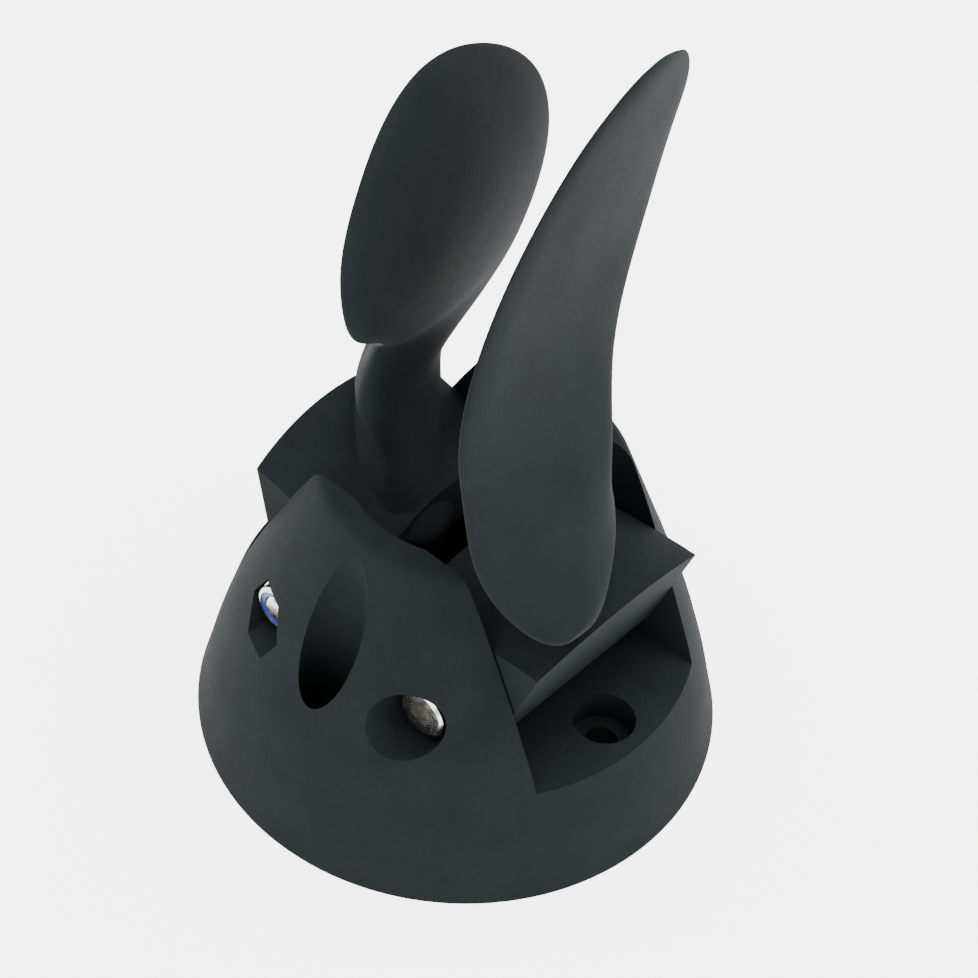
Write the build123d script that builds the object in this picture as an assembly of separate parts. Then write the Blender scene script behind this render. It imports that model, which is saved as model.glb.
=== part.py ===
from build123d import *
import math
import os

os.makedirs("parts", exist_ok=True)

# Hub: a printed nylon nose cone, slotted right through along X for two folding blades.
HUB_R = 35.0
HUB_TOP = 44.3
HUB_TOP_R = 18.2
SLOT_HALF = 15.2
SLOT_FLOOR = 15.8
WELL_R = 16.3
SHAFT_BORE_R = 4.0

# Four mounting screws from above, on one circle, in round counterbores.
MOUNT_CIRCLE_R = 24.7
MOUNT_BORE_R = 4.1
MOUNT_BORE_FLOOR = 11.3
MOUNT_HOLE_R = 2.25

# Pivot screws, M4, parallel to Y.
PIVOT_X = 12.3
PIVOT_Z = 24.3
SHANK_R = 2.0
SCREW_HOLE_R = 2.1
SCREW_LENGTH = 40.0
SEAT_Y = 17.5
HEAD_R = 3.5
HEAD_H = 4.0
HEAD_POCKET_R = 4.4
NUT_FLATS = 7.0
NUT_H = 3.7
NUT_COLLAR_TOP = 5.0
NUT_POCKET_FLATS = 7.4

# Blades: one shape, made twice. Angles are the fold from straight out to as stored.
PLUG_HALF = 14.9
PLUG_BOTTOM = 16.2
PLUG_TOP = 35.6
KNUCKLE_R = 7.5
BLADE_BORE_R = 2.05
FOLD_A = 76.3
FOLD_B = 71.2

# Outer outline of the hub, (radius, height), from the rim of the base upwards.
HUB_OUTLINE = [
    (35.0, 0.0),
    (33.9, 4.5),
    (32.8, 9.0),
    (31.6, 13.0),
    (30.2, 17.5),
    (28.5, 22.0),
    (26.6, 26.8),
    (24.5, 32.0),
    (22.1, 38.0),
    (20.5, 42.0),
]

# Leaf shape at key distances out from the pivot: centre across, centre up, twist from flat, half width,
# half thickness, and how much fuller the leading half is than the trailing half.
LEAF = [
    (13.0, 0.0, 2.2, 52, 11.8, 6.2, 0.1),
    (18.0, -3.2, 0.4, 38, 10.4, 5.0, -0.2),
    (22.0, -5.0, -0.8, 29, 12.4, 4.8, -0.1),
    (29.0, -8.5, 2.8, 9.5, 12.4, 4.0, 0.1),
    (40.0, -5.6, 12.3, 13, 16.9, 3.0, 0.2),
    (52.0, 0.7, 19.9, 15.5, 24.1, 2.4, 0.2),
    (64.0, 4.4, 23.8, 14, 23.6, 1.7, 0.2),
    (72.0, 6.0, 25.5, 12.5, 19.9, 1.2, 0.2),
    (78.0, 7.1, 26.3, 10, 15.9, 0.9, 0.2),
]
LEAF_ROOT = 12.0
LEAF_TIP = 78.0
TIP_SQUARENESS = 8
ROOT_LEAN = 0.39
LEAF_SET = 14
LEAN_ENDS = 32.0


def on_y(shape, x, y, z):
    """Turns a shape built along +Z to run along +Y and moves its base to (x, y, z)."""
    return Pos(x, y, z) * Rot(-90, 0, 0) * shape


def cylinder_y(radius, y_low, y_high, x, z):
    """A cylinder along Y between two heights on that axis."""
    length = y_high - y_low
    return Pos(x, (y_low + y_high) / 2, z) * Rot(90, 0, 0) * Cylinder(radius, length)


def nose_cone():
    """The hub's outside, solid: the turned outline with a rounded shoulder and a flat top."""
    side = Spline(HUB_OUTLINE)
    shoulder = Spline(
        [side @ 1, (HUB_TOP_R, HUB_TOP)],
        tangents=[side % 1, (-1, 0)],
    )
    base = Line((0, 0), HUB_OUTLINE[0])
    top = Line((HUB_TOP_R, HUB_TOP), (0, HUB_TOP))
    spine = Line((0, HUB_TOP), (0, 0))
    outline = make_face(base + side + shoulder + top + spine)
    return revolve(Plane.XZ * outline, Axis.Z, 360)


def hex_prism(flats, height):
    """A hexagon with two corners on the X axis, drawn up from its base."""
    return extrude(RegularPolygon(flats / 2, 6, major_radius=False), height)


def hub_body():
    """Nose cone with slot, round well for the shaft nut, shaft bore, mounting holes and screw pockets."""
    body = nose_cone()
    slot_h = HUB_TOP + 2 - SLOT_FLOOR
    body -= Pos(0, 0, SLOT_FLOOR + slot_h / 2) * Box(2 * HUB_R + 4, 2 * SLOT_HALF, slot_h)
    body -= Pos(0, 0, SLOT_FLOOR + slot_h / 2) * Cylinder(WELL_R, slot_h)
    body -= Pos(0, 0, SLOT_FLOOR / 2) * Cylinder(SHAFT_BORE_R, SLOT_FLOOR + 2)
    for turn in range(4):
        angle = math.radians(90 * turn)
        x = MOUNT_CIRCLE_R * math.cos(angle)
        y = MOUNT_CIRCLE_R * math.sin(angle)
        body -= Pos(x, y, MOUNT_BORE_FLOOR + 20) * Cylinder(MOUNT_BORE_R, 40)
        body -= Pos(x, y, 10) * Cylinder(MOUNT_HOLE_R, 24)
    for side in (1, -1):
        x = side * PIVOT_X
        body -= cylinder_y(SCREW_HOLE_R, -HUB_R, HUB_R, x, PIVOT_Z)
        head_low = -HUB_R if side > 0 else SEAT_Y
        body -= cylinder_y(HEAD_POCKET_R, head_low, head_low + HUB_R - SEAT_Y, x, PIVOT_Z)
        nut_low = SEAT_Y if side > 0 else -HUB_R
        pocket = hex_prism(NUT_POCKET_FLATS, HUB_R - SEAT_Y)
        body -= on_y(pocket, x, nut_low, PIVOT_Z)
    return body


def socket_screw():
    """Socket head cap screw along +Z, its head's seat at the origin and its head below."""
    screw = Pos(0, 0, SCREW_LENGTH / 2) * Cylinder(SHANK_R, SCREW_LENGTH)
    screw += Pos(0, 0, -HEAD_H / 2) * Cylinder(HEAD_R, HEAD_H)
    rim = screw.edges().sort_by(Axis.Z)[0]
    screw = chamfer(rim, 0.35)
    screw -= Pos(0, 0, -HEAD_H) * hex_prism(3.0, 2.2)
    tip = screw.edges().sort_by(Axis.Z)[-1]
    return chamfer(tip, 0.4)


def lock_nut():
    """Nut along +Z from its seat: a hexagon with a round collar that holds the insert."""
    nut = hex_prism(NUT_FLATS, NUT_H)
    corner_r = NUT_FLATS / math.sqrt(3)
    nut &= Pos(0, 0, NUT_H / 2) * Cylinder(corner_r - 0.12, NUT_H)
    nut += Pos(0, 0, NUT_COLLAR_TOP / 2) * Cylinder(3.3, NUT_COLLAR_TOP)
    rim = nut.edges().filter_by(GeomType.CIRCLE).sort_by(Axis.Z)[-1]
    nut = fillet(rim, 0.5)
    nut -= Pos(0, 0, NUT_COLLAR_TOP / 2) * Cylinder(SHANK_R, NUT_COLLAR_TOP + 2)
    nut -= Pos(0, 0, NUT_H + 1) * Cylinder(2.75, 2.0)
    return nut


def nut_insert():
    """Nylon ring inside the nut's collar."""
    ring = Pos(0, 0, NUT_H + 0.55) * Cylinder(2.75, 1.1)
    ring -= Pos(0, 0, NUT_H + 0.55) * Cylinder(SHANK_R, 3.0)
    return ring


def keyed(out):
    """The leaf's shape at any distance out: smooth curves through the key shapes."""
    out = max(out, LEAF[0][0])
    spans = [key[0] for key in LEAF]
    last = len(spans) - 1
    i = max(n for n in range(last) if spans[n] <= out or n == 0)
    shape = []
    for values in list(zip(*LEAF))[1:]:
        rise = [(values[n + 1] - values[n]) / (spans[n + 1] - spans[n]) for n in range(last)]
        slopes = []
        for n in (i, i + 1):
            if n in (0, last):
                slopes.append(rise[min(n, last - 1)])
            else:
                before, after = spans[n] - spans[n - 1], spans[n + 1] - spans[n]
                slopes.append((after * rise[n - 1] + before * rise[n]) / (before + after))
        step = spans[i + 1] - spans[i]
        t = (out - spans[i]) / step
        shape.append(
            values[i] * (1 + 2 * t) * (1 - t) ** 2
            + values[i + 1] * t * t * (3 - 2 * t)
            + step * (slopes[0] * t * (1 - t) ** 2 - slopes[1] * t * t * (1 - t))
        )
    return shape


def leaf_section(out):
    """One closed aerofoil of the leaf. Near the root it leans with the plug's face, and starts its outline
    back from the leading edge by the extra twist, so that neighbouring outlines start level."""
    across, up, twist, half_w, half_t, swell = keyed(out)
    reach = max(0.0, (out - LEAF_ROOT) / (LEAF_TIP - LEAF_ROOT))
    half_w *= math.sqrt(1 - reach ** TIP_SQUARENESS)
    half_t *= math.sqrt(1 - reach ** (3 * TIP_SQUARENESS))
    lean = ROOT_LEAN * min(1.0, max(0.0, (LEAN_ENDS - out) / (LEAN_ENDS - 14.0)))
    angle = math.radians(twist)
    start = min(0.0, math.radians(LEAF_SET) - angle)
    points = []
    count = 16
    for i in range(count):
        turn = start + 2 * math.pi * i / count
        along = half_w * math.cos(turn)
        thick = half_t * math.sin(turn) * (1.0 + swell * math.cos(turn))
        y = across + along * math.cos(angle) - thick * math.sin(angle)
        z = up + along * math.sin(angle) + thick * math.cos(angle)
        points.append((PIVOT_X + out - lean * z, y, PIVOT_Z + z))
    return make_face(Spline(points, periodic=True))


def plug():
    """The blade's root: fills the slot's end, its outer face part of the nose cone."""
    reach = HUB_R + 5
    outline = Polyline(
        (PIVOT_X - 2.0, PLUG_BOTTOM),
        (reach, PLUG_BOTTOM),
        (reach, PLUG_TOP),
        (PIVOT_X + 5.0, PLUG_TOP),
        (PIVOT_X - 2.0, PIVOT_Z + KNUCKLE_R - 0.3),
        close=True,
    )
    block = extrude(make_face(Plane.XZ * outline), PLUG_HALF, both=True)
    block &= nose_cone()
    block += cylinder_y(KNUCKLE_R, -PLUG_HALF, PLUG_HALF, PIVOT_X, PIVOT_Z)
    return block


def blade():
    """Plug and leaf in one piece, straight out along +X."""
    steady = [10, 13, 15, 16.6, 18, 20, 22.5, 25.5, 29, 33, 38, 43, 48, 53, 58, 63, 68, 71.5]
    closing = [LEAF_TIP - gap for gap in (4.2, 2.6, 1.4, 0.6, 0.15, 0.01)]
    leaf = loft([leaf_section(out) for out in steady + closing])
    body = plug() + leaf
    body -= Pos(PIVOT_X + 15, 0, PLUG_BOTTOM - 5) * Box(40, 40, 10)
    body -= cylinder_y(BLADE_BORE_R, -HUB_R, HUB_R, PIVOT_X, PIVOT_Z)
    return body


def folded(shape, angle):
    """The blade on +X turned up about its pivot by the given angle."""
    axis = Axis((PIVOT_X, 0, PIVOT_Z), (0, -1, 0))
    return shape.rotate(axis, angle)


def opposite(shape):
    """The same thing on the other side of the hub, half a turn about Z."""
    return shape.rotate(Axis.Z, 180)


hub = hub_body()
blade_out = blade()
blade_b = folded(blade_out, FOLD_B)
blade_a = opposite(folded(blade_out, FOLD_A))

screw_b = on_y(socket_screw(), PIVOT_X, -SEAT_Y, PIVOT_Z)
nut_b = on_y(lock_nut(), PIVOT_X, SEAT_Y, PIVOT_Z)
insert_b = on_y(nut_insert(), PIVOT_X, SEAT_Y, PIVOT_Z)

nodes = {
    "hub_body": hub,
    "blade_a": blade_a,
    "blade_b": blade_b,
    "pivot_screw_a": opposite(screw_b),
    "pivot_screw_b": screw_b,
    "lock_nut_a": opposite(nut_b),
    "lock_nut_b": nut_b,
    "nut_insert_a": opposite(insert_b),
    "nut_insert_b": insert_b,
}

for name, shape in nodes.items():
    export_step(shape, f"parts/{name}.step")
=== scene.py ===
"""Looks of a folding propeller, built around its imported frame: a printed nylon nose-cone hub and two leaf
blades that fold up on stainless cross screws."""
import math

import bmesh
import bpy
from bpy.props import FloatProperty, FloatVectorProperty, PointerProperty
from bpy.types import Operator, Panel, PropertyGroup
from mathutils import Matrix, Vector

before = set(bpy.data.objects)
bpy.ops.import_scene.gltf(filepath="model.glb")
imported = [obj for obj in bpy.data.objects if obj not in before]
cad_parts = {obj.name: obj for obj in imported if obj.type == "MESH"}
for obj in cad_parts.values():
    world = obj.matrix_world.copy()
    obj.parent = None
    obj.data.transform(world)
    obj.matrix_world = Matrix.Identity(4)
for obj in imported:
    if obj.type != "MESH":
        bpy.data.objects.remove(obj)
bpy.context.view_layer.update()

bl_info = {
    "name": "Folding Propeller",
    "version": (1, 0, 0),
    "blender": (4, 5, 0),
    "location": "View3D > Sidebar > Propeller",
    "description": "Finishes for a two-bladed folding propeller with a slotted nose-cone hub",
    "category": "Add Mesh",
}

MM = 0.001
SENSOR_WIDTH = 36.0  # millimetres, the film that the lens is given for
NYLON_IOR = 1.53
LAMP_AIM = (0, 0, 0.05)  # half way up the part

# Each soft box: the setting that holds its power, its place and its width, in metres.
LAMPS = (
    ("right", (0.50, 0.10, 0.26), 0.40),
    ("back", (0.10, 0.55, 0.35), 0.45),
    ("left", (-0.52, -0.16, 0.26), 0.40),
    ("front", (0.10, -0.60, 0.22), 0.40),
    ("top", (0.05, 0.05, 0.75), 0.50),
)


def linear(code):
    """An sRGB hex colour as linear red, green, blue and full alpha."""
    def channel(text):
        value = int(text, 16) / 255
        return value / 12.92 if value <= 0.04045 else ((value + 0.055) / 1.055) ** 2.4
    return tuple(channel(code[i:i + 2]) for i in (0, 2, 4)) + (1.0,)


# ---------------------------------------------------------------- settings

class StageSettings(PropertyGroup):
    """Camera, floor and light."""
    azimuth: FloatProperty(name="Azimuth", description="Camera's turn about the rotor axis",
                           default=math.radians(39.04), subtype="ANGLE")
    elevation: FloatProperty(name="Elevation", description="Camera's height as an angle above the floor",
                             default=math.radians(45.68), subtype="ANGLE")
    roll: FloatProperty(name="Roll", description="Camera's tilt about its own line of sight",
                        default=math.radians(5.09), subtype="ANGLE")
    distance: FloatProperty(name="Distance", description="Camera to the point it looks at",
                            default=0.350, unit="LENGTH")
    target: FloatVectorProperty(name="Target", description="Point that the camera looks at",
                                default=(-0.00577, 0.01019, 0.02797), subtype="TRANSLATION")
    lens: FloatProperty(name="Lens", description="Focal length in millimetres on a 36 mm sensor",
                        default=97.96)
    floor_size: FloatProperty(name="Floor", description="Width of the floor", default=6.0, unit="LENGTH")
    floor_shade: FloatProperty(name="Floor shade", description="How much light the floor's face returns",
                               default=0.60, min=0.0, max=1.0)
    floor_glow: FloatProperty(name="Floor glow", description="Light that comes up through the floor",
                              default=3.3, min=0.0)
    sky: FloatProperty(name="Sky", description="Strength of the even light all round", default=1.6, min=0.0)
    right: FloatProperty(name="Right", description="Power of the soft box on the right, in watts",
                         default=1.9, min=0.0)
    back: FloatProperty(name="Back", description="Power of the soft box behind, in watts",
                        default=2.6, min=0.0)
    left: FloatProperty(name="Left", description="Power of the soft box on the left, in watts",
                        default=3.2, min=0.0)
    front: FloatProperty(name="Front", description="Power of the soft box by the camera, in watts",
                         default=3.2, min=0.0)
    top: FloatProperty(name="Top", description="Power of the soft box overhead, in watts",
                       default=13.0, min=0.0)


class NylonSettings(PropertyGroup):
    """Powder-bed printed nylon, dyed black."""
    dark: FloatVectorProperty(name="Dark", description="Colour in the hollows of the grain", subtype="COLOR",
                              default=linear("0d1011")[:3], min=0.0, max=1.0)
    light: FloatVectorProperty(name="Light", description="Colour on the tops of the grain", subtype="COLOR",
                               default=linear("171b1c")[:3], min=0.0, max=1.0)
    grain: FloatProperty(name="Grain", description="Width of one grain of the sintered surface",
                         default=0.30 * MM, unit="LENGTH", precision=5)
    roughness: FloatProperty(name="Roughness", description="Roughness of the bare printed surface",
                             default=0.78, min=0.0, max=1.0)


# ---------------------------------------------------------------- shared helpers

def add(tree, kind, inputs=None, **settings):
    """Adds a node, sets its settings, and sets or links its inputs."""
    node = tree.nodes.new(kind)
    for name, value in settings.items():
        setattr(node, name, value)
    for name, value in (inputs or {}).items():
        if isinstance(value, bpy.types.NodeSocket):
            tree.links.new(value, node.inputs[name])
        else:
            node.inputs[name].default_value = value
    return node


def new_material(name):
    """An empty node material and its tree."""
    material = bpy.data.materials.new(name)
    material.use_nodes = True
    material.node_tree.nodes.clear()
    return material, material.node_tree


def dress(name, material):
    """Gives a CAD node one material in every slot."""
    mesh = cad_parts[name].data
    mesh.materials.clear()
    mesh.materials.append(material)


# ---------------------------------------------------------------- materials

def printed_nylon(settings):
    """Nylon 12, sintered from powder and dyed black: a dry, matte charcoal with a fine sandy grain, faintly
    cloudy where the dye took unevenly, and never glossy because every facet of the grain scatters.
    The real grain is finer than a tenth of a millimetre, too fine to show, so it is drawn coarser. The
    specular level is far below the usual 0.5, and the colours are darker than a typical dyed nylon, because
    both were matched under this stage's glowing floor. Under ordinary light they may need to be raised."""
    material, tree = new_material("printed_nylon_black")
    place = add(tree, "ShaderNodeTexCoord").outputs["Object"]
    grain = add(tree, "ShaderNodeTexNoise", {"Vector": place, "Scale": 1 / settings.grain, "Detail": 3.0,
                                             "Roughness": 0.65})
    cloud = add(tree, "ShaderNodeTexNoise", {"Vector": place, "Scale": 1 / (7 * MM), "Detail": 4.0,
                                             "Roughness": 0.55})
    specks = add(tree, "ShaderNodeTexVoronoi", {"Vector": place, "Scale": 1 / (0.6 * MM)}, feature="F1")
    speck = add(tree, "ShaderNodeMapRange", {"Value": specks.outputs["Distance"], "From Min": 0.10,
                                             "From Max": 0.24, "To Min": 1.0, "To Max": 0.0})
    mix = add(tree, "ShaderNodeMix", {"Factor": grain.outputs["Fac"], "A": (*settings.dark, 1.0),
                                      "B": (*settings.light, 1.0)}, data_type="RGBA")
    tone = add(tree, "ShaderNodeMapRange", {"Value": cloud.outputs["Fac"], "From Min": 0.3, "From Max": 0.7,
                                            "To Min": 0.88, "To Max": 1.12})
    clouded = add(tree, "ShaderNodeMix", {"Factor": 1.0, "A": mix.outputs["Result"],
                                          "B": tone.outputs["Result"]}, data_type="RGBA", blend_type="MULTIPLY")
    speck_part = add(tree, "ShaderNodeMath", {0: speck.outputs["Result"], 1: 0.008}, operation="MULTIPLY")
    color = add(tree, "ShaderNodeMix", {"Factor": speck_part.outputs[0], "A": clouded.outputs["Result"],
                                        "B": linear("6f7476")}, data_type="RGBA")
    rough = add(tree, "ShaderNodeMapRange", {"Value": grain.outputs["Fac"], "From Min": 0.3, "From Max": 0.7,
                                             "To Min": settings.roughness - 0.08,
                                             "To Max": settings.roughness + 0.08})
    bump = add(tree, "ShaderNodeBump", {"Height": grain.outputs["Fac"], "Strength": 0.55,
                                        "Distance": 0.10 * MM})
    shader = add(tree, "ShaderNodeBsdfPrincipled", {
        "Base Color": color.outputs["Result"], "Roughness": rough.outputs["Result"], "IOR": NYLON_IOR,
        "Normal": bump.outputs["Normal"], "Specular IOR Level": 0.03})
    add(tree, "ShaderNodeOutputMaterial", {"Surface": shader.outputs["BSDF"]})
    return material


def stainless_steel():
    """A2 stainless, cold formed and tumbled: a pale warm grey mirror blurred by tumbling. The real scratches
    are too fine to show, so the pattern is drawn coarser than they are, which leaves it slightly mottled."""
    material, tree = new_material("stainless_steel_tumbled")
    place = add(tree, "ShaderNodeTexCoord").outputs["Object"]
    scratch = add(tree, "ShaderNodeTexNoise", {"Vector": place, "Scale": 1 / (0.8 * MM), "Detail": 3.0})
    rough = add(tree, "ShaderNodeMapRange", {"Value": scratch.outputs["Fac"], "From Min": 0.3, "From Max": 0.7,
                                             "To Min": 0.16, "To Max": 0.28})
    bump = add(tree, "ShaderNodeBump", {"Height": scratch.outputs["Fac"], "Strength": 0.10,
                                        "Distance": 0.02 * MM})
    shader = add(tree, "ShaderNodeBsdfPrincipled", {
        "Base Color": linear("b9b7b2"), "Metallic": 1.0, "Roughness": rough.outputs["Result"],
        "Normal": bump.outputs["Normal"]})
    add(tree, "ShaderNodeOutputMaterial", {"Surface": shader.outputs["BSDF"]})
    return material


def blue_nylon():
    """Nylon 6.6 ring, moulded and dyed blue: smooth, slightly waxy, with scuffs where the thread passed."""
    material, tree = new_material("lock_ring_nylon_blue")
    place = add(tree, "ShaderNodeTexCoord").outputs["Object"]
    scuff = add(tree, "ShaderNodeTexNoise", {"Vector": place, "Scale": 1 / (0.4 * MM), "Detail": 3.0})
    color = add(tree, "ShaderNodeMix", {"Factor": scuff.outputs["Fac"], "A": linear("0a1046"),
                                        "B": linear("1a2778")}, data_type="RGBA")
    shader = add(tree, "ShaderNodeBsdfPrincipled", {
        "Base Color": color.outputs["Result"], "Roughness": 0.38, "IOR": NYLON_IOR,
        "Subsurface Weight": 0.1, "Subsurface Scale": 0.3 * MM})
    add(tree, "ShaderNodeOutputMaterial", {"Surface": shader.outputs["BSDF"]})
    return material


def lit_floor(settings):
    """Opal acrylic, lit from beneath like a product table: an even white with hardly a shadow on it."""
    material, tree = new_material("opal_acrylic_lit")
    shade = settings.floor_shade
    shader = add(tree, "ShaderNodeBsdfPrincipled", {
        "Base Color": (shade, shade, shade, 1.0), "Roughness": 0.9, "Specular IOR Level": 0.0,
        "Emission Color": (1.0, 1.0, 1.0, 1.0), "Emission Strength": settings.floor_glow})
    add(tree, "ShaderNodeOutputMaterial", {"Surface": shader.outputs["BSDF"]})
    return material


# ---------------------------------------------------------------- operators

class PROPELLER_OT_printed(Operator):
    """Finish the printed hub and blades"""
    bl_idname = "propeller.printed"
    bl_label = "Printed Parts"

    def execute(self, context):
        nylon = printed_nylon(context.scene.propeller_nylon)
        for name in ("hub_body", "blade_a", "blade_b"):
            dress(name, nylon)
        return {"FINISHED"}


class PROPELLER_OT_fasteners(Operator):
    """Finish the screws, lock nuts and their rings"""
    bl_idname = "propeller.fasteners"
    bl_label = "Fasteners"

    def execute(self, context):
        steel = stainless_steel()
        ring = blue_nylon()
        for side in "ab":
            dress(f"pivot_screw_{side}", steel)
            dress(f"lock_nut_{side}", steel)
            dress(f"nut_insert_{side}", ring)
        return {"FINISHED"}


class PROPELLER_OT_stage(Operator):
    """Lay the floor, hang the lights and aim the camera"""
    bl_idname = "propeller.stage"
    bl_label = "Stage"

    def execute(self, context):
        settings = context.scene.propeller_stage
        floor_mesh = bpy.data.meshes.new("floor")
        shape = bmesh.new()
        bmesh.ops.create_grid(shape, x_segments=1, y_segments=1, size=settings.floor_size / 2)
        shape.to_mesh(floor_mesh)
        shape.free()
        floor = bpy.data.objects.new("floor", floor_mesh)
        context.scene.collection.objects.link(floor)
        floor_mesh.materials.append(lit_floor(settings))
        for name, place, size in LAMPS:
            self.light(context, name, getattr(settings, name), place, size)
        self.sky(context, settings)
        self.aim_camera(context, settings)
        return {"FINISHED"}

    def light(self, context, name, power, place, size):
        """A square soft light that faces the part."""
        data = bpy.data.lights.new(name, "AREA")
        data.energy = power
        data.size = size
        lamp = bpy.data.objects.new(name, data)
        context.scene.collection.objects.link(lamp)
        lamp.location = place
        aim = Vector(LAMP_AIM) - Vector(place)
        lamp.rotation_euler = aim.to_track_quat("-Z", "Y").to_euler()

    def sky(self, context, settings):
        """Even white light, brighter at the horizon than overhead."""
        world = bpy.data.worlds.new("soft_box")
        world.use_nodes = True
        tree = world.node_tree
        tree.nodes.clear()
        place = add(tree, "ShaderNodeTexCoord").outputs["Generated"]
        height = add(tree, "ShaderNodeSeparateXYZ", {"Vector": place}).outputs["Z"]
        level = add(tree, "ShaderNodeMapRange", {"Value": height, "From Min": 0.0, "From Max": 1.0,
                                                 "To Min": 1.25, "To Max": 0.55})
        strength = add(tree, "ShaderNodeMath", {0: level.outputs["Result"], 1: settings.sky},
                       operation="MULTIPLY")
        glow = add(tree, "ShaderNodeBackground", {"Color": (1.0, 1.0, 1.0, 1.0),
                                                  "Strength": strength.outputs[0]})
        add(tree, "ShaderNodeOutputWorld", {"Surface": glow.outputs["Background"]})
        context.scene.world = world

    def aim_camera(self, context, settings):
        """Camera on a sphere about the target, then rolled about its line of sight."""
        turn, rise = settings.azimuth, settings.elevation
        back = Vector((math.sin(turn) * math.cos(rise), -math.cos(turn) * math.cos(rise), math.sin(rise)))
        right = Vector((math.cos(turn), math.sin(turn), 0))
        up = back.cross(right)
        level = Matrix((right, up, back)).transposed().to_4x4()
        data = bpy.data.cameras.new("camera")
        data.lens = settings.lens
        data.sensor_width = SENSOR_WIDTH
        data.clip_start = 0.01
        camera = bpy.data.objects.new("camera", data)
        context.scene.collection.objects.link(camera)
        place = Vector(settings.target) + back * settings.distance
        camera.matrix_world = Matrix.Translation(place) @ level @ Matrix.Rotation(settings.roll, 4, "Z")
        context.scene.camera = camera


class PROPELLER_PT_panel(Panel):
    """Sidebar panel that lists the steps"""
    bl_idname = "PROPELLER_PT_panel"
    bl_label = "Folding Propeller"
    bl_space_type = "VIEW_3D"
    bl_region_type = "UI"
    bl_category = "Propeller"

    def draw(self, context):
        for step in STEPS:
            self.layout.operator(step.bl_idname)


STEPS = (PROPELLER_OT_stage, PROPELLER_OT_printed, PROPELLER_OT_fasteners)
GROUPS = {"propeller_stage": StageSettings, "propeller_nylon": NylonSettings}


def register():
    for group in GROUPS.values():
        bpy.utils.register_class(group)
    for name, group in GROUPS.items():
        setattr(bpy.types.Scene, name, PointerProperty(type=group))
    for item in (*STEPS, PROPELLER_PT_panel):
        bpy.utils.register_class(item)


def unregister():
    for item in reversed((*STEPS, PROPELLER_PT_panel)):
        bpy.utils.unregister_class(item)
    for name, group in reversed(GROUPS.items()):
        delattr(bpy.types.Scene, name)
        bpy.utils.unregister_class(group)


def main():
    """Runs every step in order."""
    register()
    bpy.ops.propeller.stage()
    bpy.ops.propeller.printed()
    bpy.ops.propeller.fasteners()


if __name__ == "__main__":
    main()
